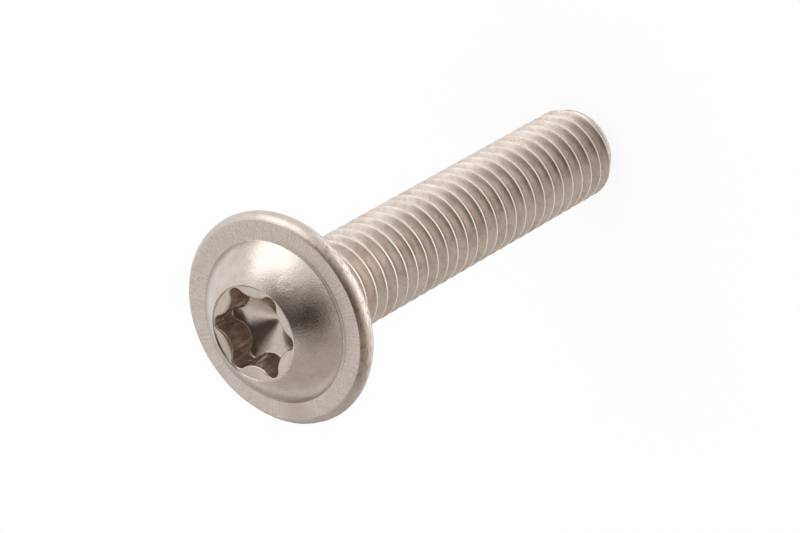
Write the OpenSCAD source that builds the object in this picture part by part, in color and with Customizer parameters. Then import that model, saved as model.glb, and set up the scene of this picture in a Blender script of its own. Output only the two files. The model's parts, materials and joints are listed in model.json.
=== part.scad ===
// Flanged button head screw with a six-lobe drive, M6 x 30, in stainless steel.
// Headed cold and thread-rolled from one piece of wire, so it is one solid.
// It is drawn along its own axis, with the bearing face at z = 0 and the tip at +z,
// and then stood on its flat end with the head up, because on its side it would roll.

/* [Shank] */
// Length under the flange
shank_l = 30; // [16:1:40]
// Diameter over the thread crests
thread_d = 5.88; // [5.7:0.02:6]
// Advance of the thread in one turn
pitch = 1; // [0.75:0.05:1.25]
// Depth of the thread from crest to root
thread_depth = 0.55; // [0.35:0.01:0.6]
// Width of the crest land, along the axis
crest_w = 0.17; // [0.1:0.01:0.22]
// Width of the root land, along the axis
root_w = 0.19; // [0.1:0.01:0.22]
// Angle at which the thread starts, about the screw axis
thread_turn = 305; // [0:1:359]
// Diameter of the plain neck between the flange and the thread
neck_d = 5.36; // [5:0.02:5.6]
// Length of the plain neck, fillet included
neck_l = 0.8; // [0.5:0.05:2]
// Length over which the thread rises out of the neck
runout_l = 1; // [0.5:0.1:3]
// Fillet between the neck and the bearing face
neck_fillet_r = 0.4; // [0.25:0.05:0.5]
// Diameter of the flat end
end_d = 4.6; // [4:0.1:5]
// Length of the chamfer at the end, measured along the axis
end_chamfer_l = 0.65; // [0.3:0.05:1.5]

/* [Flange] */
// Diameter over the rounded rim
flange_d = 13; // [12.8:0.1:13.6]
// Diameter of the flat front face, up to the crisp edge of the rim
flange_face_d = 12.3; // [11.8:0.1:12.5]
// Thickness from the front face to the bearing face
flange_t = 1.1; // [0.9:0.05:1.4]
// Distance of the widest part of the rim behind the front face
rim_offset = 0.6; // [0.5:0.05:0.7]

/* [Dome] */
// Diameter of the dome where it meets the flange
dome_d = 9.8; // [9:0.1:10.4]
// Height of the recess mouth above the front face of the flange
dome_h = 1.95; // [1.6:0.05:2.4]
// Fillet between the dome and the flange
dome_fillet_r = 0.25; // [0.1:0.05:0.4]

/* [Drive recess] */
// Diameter of the bevelled mouth
mouth_d = 5.86; // [5.7:0.02:6.4]
// Diameter over the tips of the lobes
lobe_tip_d = 5.6; // [5.2:0.05:5.65]
// Diameter between opposite flutes
flute_d = 4; // [3.7:0.05:4.2]
// Radius of a lobe tip
lobe_tip_r = 0.45; // [0.3:0.05:0.5]
// Depth of the lobe tips below the mouth
recess_depth = 1.65; // [1.2:0.05:1.8]
// Slope of the mouth bevel from the plane of the mouth
bevel_slope = 16; // [10:1:30]
// Slope of the conical floor from the plane of the mouth
floor_slope = 20; // [5:1:25]
// Angle of the first lobe, about the screw axis
recess_turn = 23.5; // [0:0.5:60]

/* [Hidden] */
$fn = 96;

lobes = 6;
lobe_step = 360 / lobes;
cut_margin = 1;           // how far a cutting tool stands past the metal it leaves

crest_r = thread_d / 2;
root_r = crest_r - thread_depth;
neck_r = neck_d / 2;
end_r = end_d / 2;
mouth_r = mouth_d / 2;
dome_r = dome_d / 2;
head_h = flange_t + dome_h;

// Rim: one arc through the crisp front edge and the widest circle
rim_bulge = (flange_d - flange_face_d) / 2;
rim_arc_r = (rim_offset ^ 2 + rim_bulge ^ 2) / (2 * rim_bulge);
rim_mid_r = flange_d / 2 - rim_arc_r;
rim_mid_z = rim_offset - flange_t;

// Dome: the sphere through its base circle and the recess mouth
dome_mid = (dome_r ^ 2 - mouth_r ^ 2 - dome_h ^ 2) / (2 * dome_h);
dome_arc_r = norm([dome_r, dome_mid]);
dome_mid_z = dome_mid - flange_t;

// Fillet circle that touches the dome and the front face of the flange
foot_r = sqrt((dome_arc_r + dome_fillet_r) ^ 2 - (dome_mid + dome_fillet_r) ^ 2);
foot_z = -flange_t - dome_fillet_r;
foot_share = dome_arc_r / (dome_arc_r + dome_fillet_r);
foot_touch = [foot_r * foot_share, dome_mid_z + (foot_z - dome_mid_z) * foot_share];

// Flutes: the circles that touch the lobe tips on both sides
lobe_mid_r = lobe_tip_d / 2 - lobe_tip_r;
flute_in_r = flute_d / 2;
flute_cos = 2 * lobe_mid_r * cos(lobe_step / 2);
flute_r = (lobe_mid_r ^ 2 + flute_in_r ^ 2 - flute_cos * flute_in_r - lobe_tip_r ^ 2)
  / (2 * lobe_tip_r - 2 * flute_in_r + flute_cos);
flute_mid_r = flute_in_r + flute_r;
flute_mid = flute_mid_r * [cos(lobe_step / 2), sin(lobe_step / 2)];
lobe_mid = [lobe_mid_r, 0];
lobe_touch = lobe_mid + (flute_mid - lobe_mid) * lobe_tip_r / (lobe_tip_r + flute_r);
lobe_turn = atan2(lobe_touch.y, lobe_touch.x);
lobe_next = norm(lobe_touch) * [cos(lobe_step - lobe_turn), sin(lobe_step - lobe_turn)];

// Slope of the end chamfer, and height of the first crest at angle 0
chamfer_slope = (crest_r - end_r) / end_chamfer_l;
crest_phase = -pitch * thread_turn / 360;

// Thread surface: columns around the axis, each a chain of [order, radius, height]
turn_sides = 32;
fillet_steps = 4;
embed = 0.2;              // how far the shank reaches into the flange
row_gap = 0.02;           // least distance of a thread row from the neck and the end
order_start = -1e6;
order_end = 1e6;
flank_w = (pitch - crest_w - root_w) / 2;
thread_rows = [
  [-crest_w / 2, crest_r],
  [crest_w / 2, crest_r],
  [crest_w / 2 + flank_w, root_r],
  [crest_w / 2 + flank_w + root_w, root_r]
];
form_rows = len(thread_rows);
turn_count = ceil(shank_l / pitch) + 2;

function clamp(x) = min(max(x, 0), 1);
function row_z(row, side) = crest_phase + thread_rows[row % form_rows].x
  + pitch * (floor(row / form_rows) + side / turn_sides);
function surface_r(r, z) = min(neck_r + (r - neck_r) * clamp((z - neck_l) / runout_l),
  end_r + (shank_l - z) * chamfer_slope);

neck_chain = [
  [order_start, neck_r + neck_fillet_r, -embed],
  for (i = [0 : fillet_steps])
    let (t = 90 * i / fillet_steps)
      [order_start + 1 + i, neck_r + neck_fillet_r * (1 - sin(t)), neck_fillet_r * (1 - cos(t))],
  [order_start + 2 + fillet_steps, neck_r, neck_l]
];
function thread_chain(side) = [
  for (row = [0 : turn_count * form_rows])
    let (z = row_z(row, side))
      if (z > neck_l + row_gap && z < shank_l - row_gap)
        [row, surface_r(thread_rows[row % form_rows].y, z), z]
];
function column(side) = concat(neck_chain, thread_chain(side), [[order_end, end_r, shank_l]]);

columns = [for (side = [0 : turn_sides - 1]) column(side)];
function first_point(side) = side == 0 ? 0 : first_point(side - 1) + len(columns[side - 1]);
starts = [for (side = [0 : turn_sides - 1]) first_point(side)];

// A column as [order, point number]; the one after the last is the first, a turn further on
function ladder(side) = let (at = side % turn_sides, turned = side == turn_sides) [
  for (i = [0 : len(columns[at]) - 1])
    let (order = columns[at][i][0], threaded = abs(order) < order_end / 2)
      [order - (turned && threaded ? form_rows : 0), starts[at] + i]
];
// Triangles between two neighbouring ladders, climbing the one whose next rung is lower
function climb(a, b, i = 0, j = 0) =
  let (a_ends = i + 1 >= len(a), b_ends = j + 1 >= len(b))
  a_ends && b_ends ? [] :
  b_ends || (!a_ends && a[i + 1][0] <= b[j + 1][0])
    ? concat([[a[i][1], a[i + 1][1], b[j][1]]], climb(a, b, i + 1, j))
    : concat([[a[i][1], b[j + 1][1], b[j][1]]], climb(a, b, i, j + 1));

// Shank: neck, rolled thread and chamfered end
module shank() {
  points = [
    for (side = [0 : turn_sides - 1])
      for (p = columns[side])
        let (a = 360 * side / turn_sides) [p[1] * cos(a), p[1] * sin(a), p[2]]
  ];
  walls = [for (side = [0 : turn_sides - 1]) each climb(ladder(side), ladder(side + 1))];
  neck_cap = [for (side = [0 : turn_sides - 1]) starts[side]];
  end_cap = [for (side = [turn_sides - 1 : -1 : 0]) starts[side] + len(columns[side]) - 1];
  polyhedron(points, concat(walls, [neck_cap, end_cap]));
}

// Half section of the flange with its bulged rim
module flange_section() {
  intersection() {
    translate([0, -flange_t]) square([flange_d, flange_t]);
    union() {
      translate([0, -flange_t]) square([rim_mid_r, flange_t]);
      translate([rim_mid_r, rim_mid_z]) circle(rim_arc_r);
    }
  }
}

// Half section of the dome with the small fillet at its foot
module dome_section() {
  intersection() {
    translate([0, dome_mid_z]) circle(dome_arc_r);
    translate([0, -head_h]) square([dome_arc_r, head_h - flange_t]);
  }
  difference() {
    polygon([[foot_touch.x, -flange_t], foot_touch, [foot_r, foot_z], [foot_r, -flange_t]]);
    translate([foot_r, foot_z]) circle(dome_fillet_r);
  }
}

// Outline of the six-lobe recess
module recess_outline() {
  difference() {
    for (i = [0 : lobes - 1]) rotate(i * lobe_step) {
      translate(lobe_mid) circle(lobe_tip_r);
      polygon([[0, 0], [lobe_touch.x, -lobe_touch.y], lobe_touch, lobe_next]);
    }
    for (i = [0 : lobes - 1]) rotate((i + 0.5) * lobe_step)
      translate([flute_mid_r, 0]) circle(flute_r);
  }
}

// Recess: lobed walls over a conical floor, below a bevelled mouth
module recess() {
  floor_h = lobe_tip_d / 2 * tan(floor_slope);
  bevel_h = mouth_r * tan(bevel_slope);
  translate([0, 0, -head_h]) {
    intersection() {
      rotate(recess_turn) translate([0, 0, -cut_margin])
        linear_extrude(cut_margin + recess_depth + floor_h) recess_outline();
      union() {
        translate([0, 0, -cut_margin]) cylinder(r = lobe_tip_d, h = cut_margin + recess_depth);
        translate([0, 0, recess_depth]) cylinder(r1 = lobe_tip_d / 2, r2 = 0, h = floor_h);
      }
    }
    cylinder(r1 = mouth_r, r2 = 0, h = bevel_h);
  }
}

module head() {
  difference() {
    rotate_extrude() {
      flange_section();
      dome_section();
    }
    recess();
  }
}

module screw() {
  color([0.72, 0.68, 0.64])
    translate([0, 0, shank_l]) rotate([180, 0, 0]) {
      head();
      shank();
    }
}

screw();
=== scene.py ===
import bpy
import json
import math
import random
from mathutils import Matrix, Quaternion, Vector


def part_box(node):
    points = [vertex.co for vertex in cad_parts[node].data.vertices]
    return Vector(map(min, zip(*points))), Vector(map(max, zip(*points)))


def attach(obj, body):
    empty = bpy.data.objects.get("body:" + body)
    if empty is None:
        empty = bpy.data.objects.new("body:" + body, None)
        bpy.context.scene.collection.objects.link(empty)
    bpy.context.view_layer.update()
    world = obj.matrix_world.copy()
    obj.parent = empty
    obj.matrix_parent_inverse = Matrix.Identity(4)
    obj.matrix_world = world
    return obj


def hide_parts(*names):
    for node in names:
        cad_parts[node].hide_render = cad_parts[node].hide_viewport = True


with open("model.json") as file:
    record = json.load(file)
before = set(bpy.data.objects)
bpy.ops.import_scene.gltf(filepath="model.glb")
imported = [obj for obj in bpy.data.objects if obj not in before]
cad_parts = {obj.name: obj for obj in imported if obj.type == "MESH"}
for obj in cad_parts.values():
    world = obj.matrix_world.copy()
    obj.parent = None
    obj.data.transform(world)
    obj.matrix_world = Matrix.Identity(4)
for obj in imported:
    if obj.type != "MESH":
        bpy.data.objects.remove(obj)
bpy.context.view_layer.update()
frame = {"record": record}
mounts = {mount["name"]: mount for mount in frame["record"]["mounts"]}
mm = 0.001
mergeDistance = 0.0005   # in millimetres, as the whole screw is until it is scaled to metres
cutTolerance = 0.0001

# heights above the end that the screw stands on, in millimetres
bearingHeight = mounts["bearing_face"]["pos_m"][2] / mm
mouthHeight = mounts["drive_recess"]["pos_m"][2] / mm
flangeRadius = (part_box("screw")[1].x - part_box("screw")[0].x) / 2 / mm
print("frame loaded, bearing face at", round(bearingHeight, 3), "mm")


def clearSelection():
    if bpy.context.object and bpy.context.object.mode != "OBJECT":
        bpy.ops.object.mode_set(mode="OBJECT")
    bpy.ops.object.select_all(action="DESELECT")


def smoothStep(value):
    value = min(max(value, 0), 1)
    return value * value * (3 - 2 * value)


def smoothMin(a, b, blend):
    share = max(blend - abs(a - b), 0) / blend
    return min(a, b) - share * share * blend / 4


def towards(azimuth, elevation):   # direction of a view, in degrees
    azimuth, elevation = math.radians(azimuth), math.radians(elevation)
    return Vector((math.sin(azimuth) * math.cos(elevation), -math.cos(azimuth) * math.cos(elevation),
                   math.sin(elevation)))


def turnBetween(angle, place):   # in degrees, from -180 to 180
    return (angle - place + 180) % 360 - 180


def arcPoints(middle, radius, start, stop, count):   # angles in degrees from the outward direction
    turns = [math.radians(start + (stop - start) * i / count) for i in range(count + 1)]
    return [(middle[0] + radius * math.cos(turn), middle[1] + radius * math.sin(turn)) for turn in turns]


def roundCorner(before, corner, after, radius, count):   # arc between two straight runs
    corner = Vector(corner)
    inward = (Vector(before) - corner).normalized()
    onward = (Vector(after) - corner).normalized()
    half = inward.angle(onward) / 2
    middle = corner + (inward + onward).normalized() * radius / math.sin(half)
    first = corner + inward * radius / math.tan(half) - middle
    last = corner + onward * radius / math.tan(half) - middle
    points = []
    for i in range(count + 1):
        spoke = first.lerp(last, i / count)
        points.append(tuple(middle + spoke.normalized() * radius))
    return points


def drawChain(name, points):   # half section in the XZ plane, one vertex pulled out after the other
    seedSize = 0.1             # a small plane is merged to the first vertex
    clearSelection()
    bpy.ops.mesh.primitive_plane_add(size=seedSize, location=(points[0][0], 0, points[0][1]))
    piece = bpy.context.object
    piece.name = name
    bpy.ops.object.transform_apply(location=True, rotation=True, scale=True)
    bpy.ops.object.mode_set(mode="EDIT")
    bpy.ops.mesh.select_all(action="SELECT")
    bpy.ops.mesh.merge(type="CENTER")
    for a, b in zip(points, points[1:]):
        step = (b[0] - a[0], 0, b[1] - a[1])
        bpy.ops.mesh.extrude_region_move(TRANSFORM_OT_translate={"value": step})
    return piece


def closeMesh():
    bpy.ops.mesh.select_all(action="SELECT")
    bpy.ops.mesh.remove_doubles(threshold=mergeDistance)
    bpy.ops.mesh.normals_make_consistent(inside=False)


# camera: the photograph's view, turned on its side because the screw stands upright here
# its distance and aim are in millimetres, its clip start in metres
cameraSet = {"azimuth": -136.98, "elevation": 47.04, "roll": 119.73, "distance": 273.3,
             "aim": (0.608, 0.567, 19.606), "lens": 208.84, "clipStart": 0.01}


def placeCamera():
    back = towards(cameraSet["azimuth"], cameraSet["elevation"])
    clearSelection()
    bpy.ops.object.camera_add(location=(Vector(cameraSet["aim"]) + back * cameraSet["distance"]) * mm)
    camera = bpy.context.object
    camera.rotation_mode = "QUATERNION"
    roll = Quaternion((0, 0, 1), -math.radians(cameraSet["roll"]))
    camera.rotation_quaternion = (-back).to_track_quat("-Z", "Y") @ roll
    camera.data.lens = cameraSet["lens"]
    camera.data.clip_start = cameraSet["clipStart"]
    bpy.context.scene.camera = camera
    print("camera placed")


# head: flange and dome, spun from one half section
# the supports are rings close beside an edge, which keep the shading of the flat faces even
headSet = {"neckRadius": 2.68, "neckLength": 0.8, "neckFillet": 0.4, "flangeThickness": 1.1,
           "faceRadius": 6.15, "rimOffset": 0.6, "edgeRadius": 0.05, "backEdgeRadius": 0.06,
           "domeRadius": 4.96, "domeFillet": 0.06, "mouthRadius": 2.93, "mouthEdge": 0.05,
           "neckSupport": 0.05, "filletSupport": 0.06, "edgeSupport": 0.04, "footSupport": 0.05,
           "bearingRing": 4.7, "faceRing": 5.6, "spinSteps": 240, "filletSteps": 8, "rimSteps": 26,
           "edgeSteps": 4, "footSteps": 7, "domeSteps": 30, "mouthSteps": 5}
faceHeight = bearingHeight + headSet["flangeThickness"]

# rim wear: the flange is trimmed a little short on one side, its front edge is rubbed down on another,
# and the rim has small dents, at heights given as shares of the flange's thickness
# a third side is scuffed, which shows in the finishes alone
rimSet = {"from": 5.2, "reach": 0.8, "trim": 0.17, "trimAt": 338, "trimSpread": 45,
          "rub": 0.07, "rubAt": 48, "rubSpread": 32, "rubFrom": 5.85, "rubReach": 0.35, "scuffAt": 118,
          "dents": 34, "dentHeight": (0.15, 1), "dentSize": (0.15, 0.45), "dentDepth": (0.005, 0.018),
          "seed": 11}


def drawDents():   # each dent has an angle, a height, a size and a depth
    draw = random.Random(rimSet["seed"])
    dents = []
    for _ in range(rimSet["dents"]):
        angle = draw.uniform(0, 360)
        height = bearingHeight + draw.uniform(*rimSet["dentHeight"]) * headSet["flangeThickness"]
        size = draw.uniform(*rimSet["dentSize"])
        dents.append((angle, height, size, draw.uniform(*rimSet["dentDepth"])))
    return dents


def wearRim(vertex, dents):
    point = vertex.co
    radius = math.hypot(point.x, point.y)
    if radius < rimSet["from"]:
        return
    angle = math.degrees(math.atan2(point.y, point.x))
    share = smoothStep((radius - rimSet["from"]) / rimSet["reach"])
    away = turnBetween(angle, rimSet["trimAt"]) / rimSet["trimSpread"]
    target = radius - rimSet["trim"] * share * math.exp(-away ** 2)
    away = turnBetween(angle, rimSet["rubAt"]) / rimSet["rubSpread"]
    rubbed = rimSet["rub"] * math.exp(-away ** 2)
    rubbed *= smoothStep((point.z - faceHeight) / rimSet["rubReach"] + 1)
    for place, height, size, depth in dents:
        along = math.radians(turnBetween(angle, place)) * radius
        target -= depth * share * math.exp(-(along ** 2 + (point.z - height) ** 2) / size ** 2)
    target -= rubbed * share
    point.z -= rubbed * smoothStep((radius - rimSet["rubFrom"]) / rimSet["rubReach"])
    point.x *= target / radius
    point.y *= target / radius


# drive recess: ring places are shares of the way down a surface, or degrees round a lip or fillet
recessSet = {"lobes": 6, "tipRadius": 2.8, "fluteRadius": 2.0, "lobeRound": 0.45, "depth": 1.65,
             "bevelSlope": 9, "bevelStep": 0.06, "floorSlope": 20, "turn": -23.5, "floorFillet": 0.09,
             "lip": 0.07, "flare": 0.12, "apexRound": 0.25,
             "bevelRings": (0.06, 0.2, 0.45, 0.75, 1), "lipRings": (35, 65, 90),
             "wallRings": (0, 0.2, 0.4, 0.6, 0.8, 1), "filletRings": (30, 60, 90),
             "floorRings": (0.94, 0.8, 0.65, 0.5, 0.35, 0.22, 0.12, 0.05, 0)}
stackHeight = 100   # the recess rings wait up here as a plain tube until they get their outline


def lobeOutline(angle):   # polar radius of the six-lobe outline
    step = 2 * math.pi / recessSet["lobes"]
    tip, flute = recessSet["lobeRound"], recessSet["fluteRadius"]
    lobeMiddle = recessSet["tipRadius"] - tip
    across = 2 * lobeMiddle * math.cos(step / 2)
    valley = (lobeMiddle ** 2 + flute ** 2 - across * flute - tip ** 2) / (2 * tip - 2 * flute + across)
    valleyMiddle = flute + valley
    touch = tip / (tip + valley)
    touchX = lobeMiddle + (valleyMiddle * math.cos(step / 2) - lobeMiddle) * touch
    touchY = valleyMiddle * math.sin(step / 2) * touch
    away = abs((angle - math.radians(recessSet["turn"]) + step / 2) % step - step / 2)
    if away < math.atan2(touchY, touchX):
        return lobeMiddle * math.cos(away) + math.sqrt(tip ** 2 - (lobeMiddle * math.sin(away)) ** 2)
    away = step / 2 - away
    return valleyMiddle * math.cos(away) - math.sqrt(valley ** 2 - (valleyMiddle * math.sin(away)) ** 2)


def bevelHeight(radius):   # the bevel lies a small step below the dome's edge
    slope = math.tan(math.radians(recessSet["bevelSlope"]))
    return mouthHeight - recessSet["bevelStep"] - (headSet["mouthRadius"] - radius) * slope


def floorHeight(radius):
    slope = math.tan(math.radians(recessSet["floorSlope"]))
    radius = math.hypot(radius, recessSet["apexRound"])
    return mouthHeight - recessSet["depth"] - (recessSet["tipRadius"] - radius) * slope


def lipRadius(out):   # the flutes flare a little towards the mouth, the lobe tips don't
    share = (recessSet["tipRadius"] - out) / (recessSet["tipRadius"] - recessSet["fluteRadius"])
    return out + recessSet["flare"] * share


def recessRings():   # each ring is a function of the outline's radius and gives its own radius and height
    mouth, lip, fillet = headSet["mouthRadius"], recessSet["lip"], recessSet["floorFillet"]

    def onBevel(share):
        def place(out):
            radius = mouth + (lipRadius(out) + lip - mouth) * share
            return radius, bevelHeight(radius)
        return place

    def onLip(turn):
        turn = math.radians(turn)
        return lambda out: (lipRadius(out) + lip * (1 - math.sin(turn)),
                            bevelHeight(lipRadius(out)) - lip * (1 - math.cos(turn)))

    def onWall(share):
        def place(out):
            top, bottom = bevelHeight(lipRadius(out)) - 2 * lip, floorHeight(out) + fillet
            return lipRadius(out) + (out - lipRadius(out)) * share, top + (bottom - top) * share
        return place

    def onFillet(turn):
        turn = math.radians(turn)

        def place(out):
            radius = out - fillet * (1 - math.cos(turn))
            return radius, floorHeight(radius) + fillet * (1 - math.sin(turn))
        return place

    def onFloor(share):
        return lambda out: ((out - fillet) * share, floorHeight((out - fillet) * share))

    surfaces = ((onBevel, "bevelRings"), (onLip, "lipRings"), (onWall, "wallRings"),
                (onFillet, "filletRings"), (onFloor, "floorRings"))
    return [surface(place) for surface, rings in surfaces for place in recessSet[rings]]


def headSection():   # from the neck over the rim, flange face and dome to the recess mouth
    bearing, face = bearingHeight, faceHeight
    neck, fillet = headSet["neckRadius"], headSet["neckFillet"]
    points = [(neck, bearing - headSet["neckLength"]), (neck, bearing - fillet - headSet["neckSupport"])]
    points += arcPoints((neck + fillet, bearing - fillet), fillet, 180, 90, headSet["filletSteps"])
    bulge = flangeRadius - headSet["faceRadius"]
    rimArc = (headSet["rimOffset"] ** 2 + bulge ** 2) / (2 * bulge)
    rimMiddle = (flangeRadius - rimArc, face - headSet["rimOffset"])
    low = -math.degrees(math.asin((rimMiddle[1] - bearing) / rimArc))
    high = math.degrees(math.asin((face - rimMiddle[1]) / rimArc))
    rim = arcPoints(rimMiddle, rimArc, low, high, headSet["rimSteps"])
    edgeSteps, edgeSupport = headSet["edgeSteps"], headSet["edgeSupport"]
    backEdge = roundCorner((neck, bearing), rim[0], rim[2], headSet["backEdgeRadius"], edgeSteps)
    frontEdge = roundCorner(rim[-3], rim[-1], (neck, face), headSet["edgeRadius"], edgeSteps)
    points += [(neck + fillet + headSet["filletSupport"], bearing), (headSet["bearingRing"], bearing),
               (backEdge[0][0] - edgeSupport, bearing)]
    points += backEdge + rim[2:-2] + frontEdge
    dome, mouth = headSet["domeRadius"], headSet["mouthRadius"]
    rise = mouthHeight - face
    below = (dome ** 2 - mouth ** 2 - rise ** 2) / (2 * rise)
    domeArc, domeMiddle = math.hypot(dome, below), face - below
    foot = headSet["domeFillet"]
    footOut = math.sqrt((domeArc + foot) ** 2 - (below + foot) ** 2)
    footTurn = math.degrees(math.atan2(below + foot, footOut))
    mouthTurn = math.degrees(math.atan2(mouthHeight - domeMiddle, mouth))
    points += [(frontEdge[-1][0] - edgeSupport, face), (headSet["faceRing"], face),
               (footOut + headSet["footSupport"], face)]
    points += arcPoints((footOut, face + foot), foot, 270, 180 + footTurn, headSet["footSteps"])
    shell = arcPoints((0, domeMiddle), domeArc, footTurn, mouthTurn, headSet["domeSteps"])
    stepFoot = (mouth - headSet["mouthEdge"], bevelHeight(mouth))
    mouthEdge = roundCorner(shell[-3], shell[-1], stepFoot, headSet["mouthEdge"], headSet["mouthSteps"])
    return points + shell[1:-1] + mouthEdge


def buildHead():
    rings = recessRings()
    stack = [(headSet["mouthRadius"], stackHeight + i) for i in range(len(rings) - 1)]
    points = headSection() + stack + [(0, stackHeight + len(rings) - 1)]
    head = drawChain("head", points)
    bpy.ops.mesh.select_all(action="SELECT")
    bpy.ops.mesh.spin(steps=headSet["spinSteps"], angle=2 * math.pi, center=(0, 0, 0), axis=(0, 0, 1))
    closeMesh()
    bpy.ops.object.mode_set(mode="OBJECT")
    dents = drawDents()
    for vertex in head.data.vertices:   # the tube's rings are drawn to bevel, walls and floor
        level = round(vertex.co.z - stackHeight)
        if level < 0:
            wearRim(vertex, dents)
            continue
        angle = math.atan2(vertex.co.y, vertex.co.x)
        radius, height = rings[level](lobeOutline(angle))
        vertex.co = (radius * math.cos(angle), radius * math.sin(angle), height)
    print("head spun with", len(head.data.vertices), "points")
    return head


# shank: rolled thread with its run-out, a groove in the last crest and small nicks
# the thread's start is an angle about the axis, and nick widths are in degrees along the helix
threadSet = {"crestRadius": 2.94, "pitch": 1.0, "depth": 0.55, "crestWidth": 0.09, "crestRound": 0.028,
             "flankAngle": 30, "startTurn": 305, "runout": 1.0, "steps": 96, "turns": 33, "arcSteps": 3,
             "grooveDepth": 0.05, "grooveFrom": 1.7, "grooveReach": 1.2, "grooveHalf": 0.01,
             "nicks": 46, "nickDepth": 0.03, "nickShare": (0.3, 1), "nickWidth": (2.5, 6), "nickReach": 3,
             "seed": 6}
threadPhase = bearingHeight + threadSet["pitch"] * threadSet["startTurn"] / 360

# end: chamfer, rounded edge, flat ring and a slight dimple
# the cut and the edge have steps out from the end's radius, the bowl has shares of the dimple
endSet = {"radius": 2.2, "chamferLength": 0.75, "chamferBlend": 0.3, "cutHeight": 0.05, "cutStep": 0.04,
          "edge": ((0.01, 0.022), (-0.04, 0.004), (-0.1, 0)), "flat": (1.85, 1.55),
          "dimple": 0.05, "bowl": ((1.4, 0.1), (1.1, 0.5), (0.6, 0.9), (0.2, 1))}


def threadForm():   # one pitch of the thread from root to root, as radius and height
    crest, half = threadSet["crestRadius"], threadSet["pitch"] / 2
    land, slant = threadSet["crestWidth"] / 2, math.tan(math.radians(threadSet["flankAngle"]))
    sharp = (half - land) / slant                       # depth at which the flanks would meet
    rootArc = sharp - threadSet["depth"]
    rootMiddle = (crest - threadSet["depth"] + rootArc, half)
    turn = 90 - threadSet["flankAngle"]
    flank = (rootMiddle[0] - rootArc * math.cos(math.radians(turn)),
             half - rootArc * math.sin(math.radians(turn)))
    edge = roundCorner((crest, 0), (crest, land), flank, threadSet["crestRound"], threadSet["arcSteps"])
    middle = tuple((a + b) / 2 for a, b in zip(edge[-1], flank))
    root = arcPoints(rootMiddle, rootArc, 180 + turn, 180, threadSet["arcSteps"])
    rising = [(crest, 0)] + edge + [middle] + root
    return [(radius, -height) for radius, height in reversed(rising)] + rising[1:]


def threadOffset(point):   # distance along the axis from the nearest crest, at the point's own angle
    pitch = threadSet["pitch"]
    lift = point.z - threadPhase - pitch * math.atan2(point.y, point.x) / (2 * math.pi)
    return (lift + pitch / 2) % pitch - pitch / 2


def drawNicks():   # each nick has a place along the helix, a depth and a width
    draw = random.Random(threadSet["seed"])
    span = bearingHeight / threadSet["pitch"] * 360
    start = -threadPhase / threadSet["pitch"] * 360
    nicks = []
    for _ in range(threadSet["nicks"]):
        place = start + draw.uniform(0, span)
        depth = threadSet["nickDepth"] * draw.uniform(*threadSet["nickShare"])
        nicks.append((place, depth, draw.uniform(*threadSet["nickWidth"])))
    return nicks


def shapeThread(vertex, nicks):   # run-out, end chamfer, groove and nicks
    point = vertex.co
    radius = math.hypot(point.x, point.y)
    offset = threadOffset(point)
    slope = (threadSet["crestRadius"] - endSet["radius"]) / endSet["chamferLength"]
    target = radius
    if abs(offset) < threadSet["crestWidth"] / 2:
        if abs(offset) < threadSet["grooveHalf"]:
            near = smoothStep((threadSet["grooveFrom"] - point.z) / threadSet["grooveReach"])
            target -= threadSet["grooveDepth"] * near
        around = (point.z - offset - threadPhase) / threadSet["pitch"] * 360
        for place, depth, width in nicks:
            if abs(around - place) < threadSet["nickReach"] * width:
                target -= depth * math.exp(-((around - place) / width) ** 2)
    grown = smoothStep((bearingHeight - point.z - headSet["neckLength"]) / threadSet["runout"])
    target = headSet["neckRadius"] + (target - headSet["neckRadius"]) * grown
    target = smoothMin(target, endSet["radius"] + point.z * slope, endSet["chamferBlend"])
    point.x *= target / radius
    point.y *= target / radius


def cutLevel(height, upwards):   # trims the shank flat and leaves the new rim selected
    bpy.ops.mesh.select_all(action="SELECT")
    bpy.ops.mesh.bisect(plane_co=(0, 0, height), plane_no=(0, 0, 1), clear_inner=not upwards,
                        clear_outer=upwards, threshold=cutTolerance)


def closeEnd():   # rings inwards from the cut, as radius and height
    end, dimple = endSet["radius"], endSet["dimple"]
    rings = [(end + step, height) for step, height in endSet["edge"]]
    rings += [(radius, 0) for radius in endSet["flat"]]
    rings += [(radius, share * dimple) for radius, share in endSet["bowl"]]
    radius, height = end + endSet["cutStep"], endSet["cutHeight"]
    for nextRadius, nextHeight in rings:
        bpy.ops.mesh.extrude_region_move(TRANSFORM_OT_translate={"value": (0, 0, nextHeight - height)})
        share = nextRadius / radius
        bpy.ops.transform.resize(value=(share, share, 1), center_override=(0, 0, nextHeight))
        radius, height = nextRadius, nextHeight
    bpy.ops.mesh.merge(type="CENTER")


def buildShank():
    shank = drawChain("shank", threadForm())
    bpy.ops.object.mode_set(mode="OBJECT")
    screw = shank.modifiers.new("thread", "SCREW")
    screw.axis = "Z"
    screw.screw_offset = threadSet["pitch"]
    screw.iterations = threadSet["turns"]
    screw.steps = screw.render_steps = threadSet["steps"]
    screw.use_smooth_shade = True
    bpy.ops.object.modifier_apply(modifier=screw.name)
    low = threadPhase % threadSet["pitch"] - 2 * threadSet["pitch"]
    for vertex in shank.data.vertices:
        vertex.co.z += low
    bpy.ops.object.mode_set(mode="EDIT")
    closeMesh()
    bpy.ops.object.mode_set(mode="OBJECT")
    nicks = drawNicks()
    for vertex in shank.data.vertices:
        shapeThread(vertex, nicks)
    bpy.ops.object.mode_set(mode="EDIT")
    cutLevel(bearingHeight - headSet["neckLength"], True)
    cutLevel(endSet["cutHeight"], False)
    closeEnd()
    bpy.ops.object.mode_set(mode="OBJECT")
    print("shank threaded with", len(shank.data.vertices), "points")
    return shank


def selectBorder():   # every edge with one face
    bpy.ops.mesh.select_mode(type="EDGE")
    bpy.ops.mesh.select_all(action="DESELECT")
    bpy.ops.mesh.select_non_manifold(extend=False, use_wire=False, use_boundary=True,
                                     use_multi_face=False, use_non_contiguous=False, use_verts=False)


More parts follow.
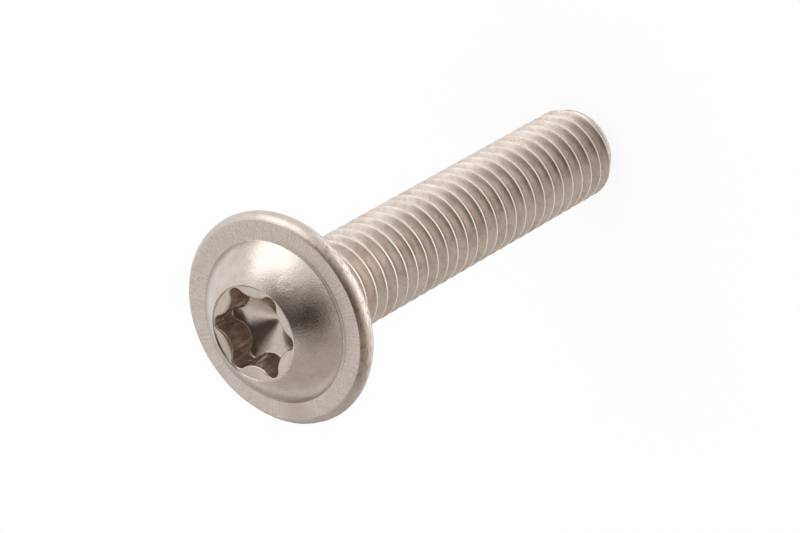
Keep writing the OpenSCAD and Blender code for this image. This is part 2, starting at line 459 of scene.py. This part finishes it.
def buildScrew():
    head = buildHead()
    shank = buildShank()
    clearSelection()
    head.select_set(True)
    shank.select_set(True)
    bpy.context.view_layer.objects.active = shank
    bpy.ops.object.join()
    piece = bpy.context.object
    piece.name = "flanged_screw"
    piece.data.name = "flanged_screw"
    bpy.ops.object.mode_set(mode="EDIT")
    selectBorder()
    bpy.ops.mesh.bridge_edge_loops()
    closeMesh()
    bpy.ops.object.mode_set(mode="OBJECT")
    piece.scale = (mm, mm, mm)
    bpy.ops.object.transform_apply(location=True, rotation=True, scale=True)
    bpy.ops.object.shade_smooth()
    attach(piece, "root")
    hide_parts("screw")
    print("screw joined with", len(piece.data.polygons), "faces")
    return piece


class Wire:   # a socket that takes part in arithmetic
    def __init__(self, tree, socket=None):
        self.tree = tree
        self.socket = socket

    def node(self, kind, settings=None, sockets=None, out=0):
        made = self.tree.nodes.new(kind)
        for key, value in (settings or {}).items():
            setattr(made, key, value)
        for key, value in (sockets or {}).items():
            if isinstance(value, Wire):
                self.tree.links.new(value.socket, made.inputs[key])
            else:
                made.inputs[key].default_value = value
        return Wire(self.tree, made.outputs[out] if len(made.outputs) else None)

    def math(self, operation, other=None):
        sockets = {0: self} if other is None else {0: self, 1: other}
        return self.node("ShaderNodeMath", {"operation": operation}, sockets)

    def reverse(self, operation, other):
        return self.node("ShaderNodeMath", {"operation": operation}, {0: other, 1: self})

    def __add__(self, other):
        return self.math("ADD", other)

    def __radd__(self, other):
        return self.reverse("ADD", other)

    def __sub__(self, other):
        return self.math("SUBTRACT", other)

    def __rsub__(self, other):
        return self.reverse("SUBTRACT", other)

    def __mul__(self, other):
        return self.math("MULTIPLY", other)

    def __rmul__(self, other):
        return self.reverse("MULTIPLY", other)

    def __truediv__(self, other):
        return self.math("DIVIDE", other)

    def step(self, low, high):   # 0 below low, 1 above high, soft between
        return self.node("ShaderNodeMapRange", {"interpolation_type": "SMOOTHSTEP"},
                         {"Value": self, "From Min": low, "From Max": high})


def startMaterial(name):
    material = bpy.data.materials.new(name)
    material.use_nodes = True
    material.node_tree.nodes.clear()
    return material, Wire(material.node_tree)


def endMaterial(wire, shader):
    wire.node("ShaderNodeOutputMaterial", None, {"Surface": shader})


def steelPlaces(wire):   # the point in millimetres, its radius and its direction about the axis
    place = wire.node("ShaderNodeTexCoord", out="Object")
    place = wire.node("ShaderNodeVectorMath", {"operation": "SCALE"}, {0: place, "Scale": 1 / mm})
    split = place.node("ShaderNodeSeparateXYZ", None, {0: place})
    x, y, z = (Wire(wire.tree, split.socket.node.outputs[i]) for i in range(3))
    radius = (x * x + y * y).math("SQRT")
    return {"place": place, "x": x, "y": y, "z": z, "radius": radius,
            "alongX": x / radius, "alongY": y / radius}


def noise(wire, vector, scale, detail=3.0, rough=0.55):
    return wire.node("ShaderNodeTexNoise", {"noise_dimensions": "3D"},
                     {"Vector": vector, "Scale": scale, "Detail": detail, "Roughness": rough}, "Fac")


def streaks(wire, at, around, outward, upward, detail):   # noise that follows the screw's roundness
    vector = wire.node("ShaderNodeCombineXYZ", None,
                       {0: at["alongX"] * around + at["radius"] * outward,
                        1: at["alongY"] * around + at["radius"] * outward, 2: at["z"] * upward})
    return noise(wire, vector, 1.0, detail)


def blend(wire, share, first, second):   # colour between two colours
    return wire.node("ShaderNodeMix", {"data_type": "RGBA"}, {0: share, 6: first, 7: second}, 2)


def bump(wire, height, distance):
    return wire.node("ShaderNodeBump", None,
                     {"Strength": 1.0, "Distance": distance * mm, "Height": height})


def steelShader(wire, colour, roughness, normal, metal=1.0):
    return wire.node("ShaderNodeBsdfPrincipled", None,
                     {"Base Color": colour, "Metallic": metal, "Roughness": roughness, "Normal": normal})


def nearSpot(wire, at, spot, inner, outer, flat=1.0):   # 1 at a place on the screw, 0 away from it
    angle, radius, height = spot
    turn = math.radians(angle)
    out = at["x"] - radius * math.cos(turn)
    side = at["y"] - radius * math.sin(turn)
    up = (at["z"] - height) * flat
    return 1 - (out * out + side * side + up * up).math("SQRT").step(inner, outer)


def facing(at, angle, low, high):   # 1 on the side of the screw that faces an angle
    turn = math.radians(angle)
    return (at["alongX"] * math.cos(turn) + at["alongY"] * math.sin(turn)).step(low, high)


# tones of the bare, worn and filmed steel; two darker ones also serve as painted shade
steelTone = {"plain": (0.555, 0.49, 0.442, 1), "light": (0.655, 0.585, 0.535, 1),
             "satin": (0.49, 0.427, 0.385, 1), "pale": (0.63, 0.552, 0.505, 1),
             "worn": (0.74, 0.665, 0.605, 1), "bare": (0.79, 0.71, 0.65, 1),
             "bright": (0.8, 0.77, 0.745, 1), "film": (0.5, 0.41, 0.345, 1),
             "recess": (0.52, 0.44, 0.38, 1), "brown": (0.44, 0.355, 0.295, 1),
             "dullAndShade": (0.44, 0.365, 0.315, 1), "stain": (0.5, 0.36, 0.22, 1),
             "dirtAndShade": (0.3, 0.22, 0.17, 1)}

# in each finish, the noise scales are per millimetre and the relief is in millimetres
# a spot is an angle, a radius and a height, with its inner and outer size beside it
# the shade spot is a patch of painted shade on the flange face
satinSet = {"dragAround": 90, "dragOutward": 0.9, "grain": 9.0, "speck": 16.0, "cloud": 0.9,
            "shadeSpot": (22, 5.6, 31.1), "shadeSize": (0.3, 1.7),
            "footLineRadius": 5.13, "footLineWidth": (0.01, 0.05), "relief": 0.014}


def satinFace():   # flat ring of the flange, with faint radial drag lines, a patch of painted shade on one side and a darker grooved line near the dome's foot
    material, wire = startMaterial("satinFace")
    at = steelPlaces(wire)
    drag = streaks(wire, at, satinSet["dragAround"], satinSet["dragOutward"], 0, 2.0)
    grain = noise(wire, at["place"], satinSet["grain"], 2.0)
    cloud = noise(wire, at["place"], satinSet["cloud"])
    speck = noise(wire, at["place"], satinSet["speck"], 2.0)
    tone = (drag * 0.36 + grain * 0.3 + speck * 0.2 + cloud * 0.14).step(0.43, 0.57)
    colour = blend(wire, tone, steelTone["satin"], steelTone["pale"])
    # painted shade: the flange face is darker in one patch, on the side that faces down in the camera's
    # view
    dullAndShade = nearSpot(wire, at, satinSet["shadeSpot"], *satinSet["shadeSize"]) * (0.3 + 0.5 * cloud)
    colour = blend(wire, dullAndShade, colour, steelTone["dullAndShade"])
    # a darker, slightly sunken line near the dome's foot, on one side only
    fromLine = (at["radius"] - satinSet["footLineRadius"]).math("ABSOLUTE")
    footLine = (1 - fromLine.step(*satinSet["footLineWidth"])) * facing(at, rimSet["scuffAt"], 0.5, 0.9)
    colour = blend(wire, footLine * 0.6, colour, steelTone["dullAndShade"])
    relief = drag * 0.6 + grain * 0.5 - footLine * 0.5
    normal = bump(wire, relief, satinSet["relief"])
    endMaterial(wire, steelShader(wire, colour, 0.3 + 0.1 * drag, normal))
    return material


domeSet = {"grain": 9.0, "pits": 4.5, "cloud": 1.1, "roughSpot": (153, 3.8, 32.4), "roughSize": (0.2, 0.8),
           "relief": 0.012}


def tumbledDome():   # fine peened grain, with one rough patch beside the recess
    material, wire = startMaterial("tumbledDome")
    at = steelPlaces(wire)
    grain = noise(wire, at["place"], domeSet["grain"], 4.0, 0.6)
    pits = noise(wire, at["place"], domeSet["pits"], 4.0, 0.65)
    cloud = noise(wire, at["place"], domeSet["cloud"])
    rough = nearSpot(wire, at, domeSet["roughSpot"], *domeSet["roughSize"])
    tone = (grain * 0.5 + cloud * 0.5).step(0.35, 0.65)
    colour = blend(wire, tone, steelTone["plain"], steelTone["light"])
    colour = blend(wire, rough * pits.step(0.5, 0.65) * 0.6, colour, steelTone["dullAndShade"])
    normal = bump(wire, grain + pits * rough * 3, domeSet["relief"])
    endMaterial(wire, steelShader(wire, colour, 0.17 + 0.12 * grain + 0.1 * rough, normal))
    return material


# the shaded band gives the depths below the flange face over which a painted shade fades out
scuffSet = {"scuffsAlong": 2.4, "scuffsAcross": 8, "scuffsSlant": 0.9, "pits": 7.0, "cloud": 1.3,
            "shadedBand": (0.75, 0.3), "stainSpot": (102, 6.45, 30.7), "stainSize": (0.1, 1.0),
            "stainFlat": 3.5, "relief": 0.03}


def scuffedRim():   # satin rolled edge; one side has slanting scratches with darker streaks between them, a band of painted shade near the front edge and a brown stain; the pits hold dirt
    material, wire = startMaterial("scuffedRim")
    at = steelPlaces(wire)
    turn = math.radians(rimSet["scuffAt"])
    along = at["y"] * math.cos(turn) - at["x"] * math.sin(turn)
    across = at["z"] * scuffSet["scuffsAcross"] + along * scuffSet["scuffsSlant"]
    slant = wire.node("ShaderNodeCombineXYZ", None,
                      {0: along * scuffSet["scuffsAlong"], 1: 0.0, 2: across})
    scuffs = noise(wire, slant, 1.0, 5.0, 0.7)
    pits = noise(wire, at["place"], scuffSet["pits"], 4.0, 0.65)
    cloud = noise(wire, at["place"], scuffSet["cloud"])
    side = facing(at, rimSet["scuffAt"], 0.55, 0.85)
    rubbed = facing(at, rimSet["rubAt"], 0.5, 0.9)
    # painted shade: a dark band near the front edge on the scuffed side
    shadedFront = at["z"].step(*(faceHeight - depth for depth in scuffSet["shadedBand"]))
    bright = scuffs.step(0.47, 0.6) * side * (1 - shadedFront * 0.8)
    # darker streaks between the scratches, painted shade near the front edge, and dirt in the pits
    dirtAndShade = (1 - scuffs).step(0.53, 0.64) * side * 0.8 + shadedFront * side * 0.5
    dirtAndShade = dirtAndShade + pits.step(0.55, 0.68) * (0.12 + 0.3 * rubbed)
    stain = nearSpot(wire, at, scuffSet["stainSpot"], *scuffSet["stainSize"], scuffSet["stainFlat"])
    stain = stain * (0.3 + 0.7 * scuffs)
    tone = (pits * 0.5 + cloud * 0.5).step(0.36, 0.64)
    colour = blend(wire, tone, steelTone["plain"], steelTone["light"])
    for share, name in ((bright, "bright"), (dirtAndShade, "dirtAndShade"), (stain, "stain")):
        colour = blend(wire, share, colour, steelTone[name])
    rough = 0.3 + 0.12 * pits - 0.1 * bright + 0.16 * rubbed
    relief = scuffs * side * 0.7 + pits * (0.4 + 0.4 * rubbed)
    endMaterial(wire, steelShader(wire, colour, rough, bump(wire, relief, scuffSet["relief"])))
    return material


floorSet = {"wave": 1.6, "cloud": 2.2, "relief": 0.008}


def pressedFloor():   # smooth cone at the bottom of the recess
    material, wire = startMaterial("pressedFloor")
    at = steelPlaces(wire)
    wave = noise(wire, at["place"], floorSet["wave"], 2.0)
    cloud = noise(wire, at["place"], floorSet["cloud"], 2.0)
    colour = blend(wire, cloud.step(0.35, 0.65), steelTone["recess"], steelTone["plain"])
    normal = bump(wire, wave, floorSet["relief"])
    endMaterial(wire, steelShader(wire, colour, 0.12 + 0.06 * cloud, normal))
    return material


wallSet = {"cloud": 1.8, "linesAround": 9, "linesOutward": 3.0, "linesUpward": 0.7, "metal": 0.84,
           "relief": 0.004}


def broachedWall():   # lobed walls with upright tool lines, under a thin brownish film
    material, wire = startMaterial("broachedWall")
    at = steelPlaces(wire)
    cloud = noise(wire, at["place"], wallSet["cloud"], 2.0)
    lines = streaks(wire, at, wallSet["linesAround"], wallSet["linesOutward"], wallSet["linesUpward"], 2.0)
    tone = (cloud * 0.8 + lines * 0.2).step(0.38, 0.62)
    colour = blend(wire, tone, steelTone["brown"], steelTone["recess"])
    normal = bump(wire, lines, wallSet["relief"])
    endMaterial(wire, steelShader(wire, colour, 0.2 + 0.08 * cloud, normal, wallSet["metal"]))
    return material


bevelSet = {"grain": 9.0, "cloud": 2.0, "relief": 0.004}


def bevelFace():   # bevelled mouth, satin like the flange
    material, wire = startMaterial("bevelFace")
    at = steelPlaces(wire)
    grain = noise(wire, at["place"], bevelSet["grain"])
    cloud = noise(wire, at["place"], bevelSet["cloud"])
    colour = blend(wire, cloud.step(0.35, 0.65), steelTone["recess"], steelTone["plain"])
    normal = bump(wire, grain, bevelSet["relief"])
    endMaterial(wire, steelShader(wire, colour, 0.22 + 0.1 * grain, normal))
    return material


flankSet = {"linesAround": 5, "linesAcross": 9.0, "cloud": 0.8, "mottle": 2.6, "grain": 8.0,
            "crestBand": (0.05, 0.005), "relief": 0.014}


def rolledThread():   # burnished crests, mottled flanks with a brownish film and faint rolling lines
    material, wire = startMaterial("rolledThread")
    at = steelPlaces(wire)
    across = flankSet["linesAcross"]
    lines = streaks(wire, at, flankSet["linesAround"], across, across, 3.0)
    cloud = noise(wire, at["place"], flankSet["cloud"], 4.0, 0.6)
    mottle = noise(wire, at["place"], flankSet["mottle"], 4.0, 0.65)
    grain = noise(wire, at["place"], flankSet["grain"], 3.0, 0.6)
    crest = at["radius"].step(*(threadSet["crestRadius"] - depth for depth in flankSet["crestBand"]))
    tone = (lines * 0.3 + mottle * 0.4 + grain * 0.3).step(0.4, 0.6)
    colour = blend(wire, tone, steelTone["light"], steelTone["bare"])
    film = (cloud * 0.5 + mottle * 0.5).step(0.46, 0.6) * 0.6
    colour = blend(wire, film, colour, steelTone["film"])
    colour = blend(wire, crest * grain.step(0.3, 0.55), colour, steelTone["worn"])
    relief = lines * 0.3 + grain * 0.4 + mottle * 0.5
    normal = bump(wire, relief, flankSet["relief"])
    endMaterial(wire, steelShader(wire, colour, 0.26 + 0.16 * mottle, normal))
    return material


# where one finish ends and the next begins, in millimetres beside the edge between them,
# and how far up the floor's faces look at least
seamSet = {"neck": 0.001, "bearing": 0.01, "edge": 0.03, "mouth": 0.01, "bevel": 0.03, "floorSlope": 0.8}


def faceFinish(centre, normal):   # which finish a face takes, by its place in millimetres and its slope
    radius, height = math.hypot(centre.x, centre.y) / mm, centre.z / mm
    edge = seamSet["edge"]
    if height < bearingHeight - seamSet["neck"]:
        return "thread"
    if bearingHeight + seamSet["bearing"] < height < faceHeight - edge and radius > rimSet["rubFrom"]:
        return "rim"
    if radius > headSet["mouthRadius"] - seamSet["mouth"]:
        return "face" if height < faceHeight + edge else "dome"
    if abs(height - bevelHeight(radius)) < seamSet["bevel"]:
        return "bevel"
    deep = height < mouthHeight - recessSet["depth"]
    return "floor" if deep and normal.z > seamSet["floorSlope"] else "wall"


def dressScrew(piece):
    finishes = {"thread": rolledThread(), "rim": scuffedRim(), "face": satinFace(), "dome": tumbledDome(),
                "bevel": bevelFace(), "wall": broachedWall(), "floor": pressedFloor()}
    piece.data.materials.clear()
    for material in finishes.values():
        piece.data.materials.append(material)
    order = list(finishes)
    for polygon in piece.data.polygons:
        polygon.material_index = order.index(faceFinish(polygon.center, polygon.normal))
    print("finishes applied")


# studio: white tent, one soft lamp, dark cards above and in front, and greyer ones round them
# distances and sizes are in metres, and only the lift of the panels is in millimetres
studioSet = {"keyAzimuth": -60, "keyElevation": 15, "keyDistance": 0.32, "keySize": 0.28, "keyLevel": 1.1,
             "floorTone": 0.97, "floorShade": 0.15, "floorSize": 6, "panelLift": 0.5, "cardSides": 48}
tintSet = {"brown": (1.0, 0.8, 0.67, 1), "tan": (1.0, 0.86, 0.75, 1), "cream": (1.0, 0.94, 0.89, 1),
           "white": (1.0, 0.98, 0.95, 1)}
# cards have half angles across and along, as seen from the head, and glow fully up to a share of them
cardSet = {"darkLens": {"azimuth": -158, "elevation": 48, "distance": 0.45, "across": 21, "along": 24,
                        "full": 0.25, "level": 0.03, "tint": "brown"},
           "darkTop": {"azimuth": -168, "elevation": 84, "distance": 0.5, "across": 25, "along": 42,
                       "full": 0.38, "level": 0.09, "tint": "brown"},
           "greyTop": {"azimuth": -92, "elevation": 65, "distance": 0.55, "across": 29, "along": 26,
                       "full": 0.3, "level": 0.24, "tint": "tan"},
           "greyFront": {"azimuth": -160, "elevation": 43, "distance": 0.6, "across": 51, "along": 43,
                         "full": 0.2, "level": 0.25, "tint": "tan"},
           "greySide": {"azimuth": 115, "elevation": 17, "distance": 0.9, "across": 61, "along": 48,
                        "full": 0.58, "level": 0.59, "tint": "cream"}}
# panels lie just above the floor
panelSet = {"litFloor": {"azimuth": -145, "distance": 0.09, "size": 0.085, "full": 0.5, "level": 2.2,
                         "tint": "white"},
            "greyFloor": {"azimuth": 78, "distance": 0.12, "size": 0.12, "full": 0.5, "level": 0.45,
                          "tint": "cream"}}


def seenWhite(wire):   # 1 for camera, mirror and glass rays
    path = wire.node("ShaderNodeLightPath", out="Is Camera Ray")
    rays = path.socket.node.outputs
    glossy, through = (Wire(wire.tree, rays[name]) for name in ("Is Glossy Ray", "Is Transmission Ray"))
    return path.math("MAXIMUM", glossy).math("MAXIMUM", through)


def buildWorld():
    world = bpy.data.worlds.new("whiteTent")
    world.use_nodes = True
    world.node_tree.nodes.clear()
    wire = Wire(world.node_tree)
    shade = wire.node("ShaderNodeBackground", None, {"Color": (1, 1, 1, 1), "Strength": 1.0})
    wire.node("ShaderNodeOutputWorld", None, {"Surface": shade})
    bpy.context.scene.world = world


def buildFloor():
    clearSelection()
    bpy.ops.mesh.primitive_plane_add(size=studioSet["floorSize"], location=(0, 0, 0))
    floor = bpy.context.object
    floor.name = "floor"
    material, wire = startMaterial("paleFloor")
    matt = wire.node("ShaderNodeBsdfDiffuse", None, {"Color": (studioSet["floorTone"],) * 3 + (1,)})
    glow = wire.node("ShaderNodeEmission", None, {"Color": (1, 1, 1, 1), "Strength": 1.0})
    share = seenWhite(wire) * (1 - studioSet["floorShade"])
    endMaterial(wire, wire.node("ShaderNodeMixShader", None, {0: share, 1: matt, 2: glow}))
    floor.data.materials.append(material)


def softCircle(name, place, across, along, card):   # soft-edged circle that only the metal sees
    clearSelection()
    bpy.ops.mesh.primitive_circle_add(vertices=studioSet["cardSides"], radius=1, fill_type="NGON",
                                      location=place)
    piece = bpy.context.object
    piece.name = name
    piece.scale = (across, along, 1)
    material, wire = startMaterial(name)
    point = wire.node("ShaderNodeTexCoord", out="Object")
    away = wire.node("ShaderNodeVectorMath", {"operation": "LENGTH"}, {0: point}, "Value")
    glow = wire.node("ShaderNodeEmission", None,
                     {"Color": tintSet[card["tint"]], "Strength": card["level"]})
    clear = wire.node("ShaderNodeBsdfTransparent")
    edge = away.step(card["full"], 1)
    endMaterial(wire, wire.node("ShaderNodeMixShader", None, {0: edge, 1: glow, 2: clear}))
    piece.data.materials.append(material)
    piece.visible_camera = False
    piece.visible_shadow = False
    piece.visible_diffuse = False
    return piece


def buildCard(name, card):   # faces the head of the screw
    back = towards(card["azimuth"], card["elevation"])
    place = Vector((0, 0, bearingHeight * mm)) + back * card["distance"]
    across, along = (card["distance"] * math.tan(math.radians(card[side])) for side in ("across", "along"))
    piece = softCircle(name, place, across, along, card)
    piece.rotation_mode = "QUATERNION"
    piece.rotation_quaternion = back.to_track_quat("Z", "Y")


def buildPanel(name, panel):
    lift = Vector((0, 0, studioSet["panelLift"] * mm))
    place = towards(panel["azimuth"], 0) * panel["distance"] + lift
    softCircle(name, place, panel["size"], panel["size"], panel)


def buildLamp():
    clearSelection()
    aim = Vector((0, 0, bearingHeight * mm))
    back = towards(studioSet["keyAzimuth"], studioSet["keyElevation"])
    bpy.ops.object.light_add(type="AREA", location=aim + back * studioSet["keyDistance"])
    lamp = bpy.context.object
    lamp.name = "softLamp"
    lamp.data.shape = "SQUARE"
    lamp.data.size = studioSet["keySize"]
    lamp.data.energy = studioSet["keyLevel"] * math.pi * studioSet["keySize"] ** 2
    lamp.rotation_mode = "QUATERNION"
    lamp.rotation_quaternion = back.to_track_quat("Z", "Y")


def buildStudio():
    bpy.context.scene.view_settings.view_transform = "Standard"
    buildWorld()
    buildFloor()
    buildLamp()
    for name, card in cardSet.items():
        buildCard(name, card)
    for name, panel in panelSet.items():
        buildPanel(name, panel)
    print("studio lit")


placeCamera()
screw = buildScrew()
dressScrew(screw)
buildStudio()
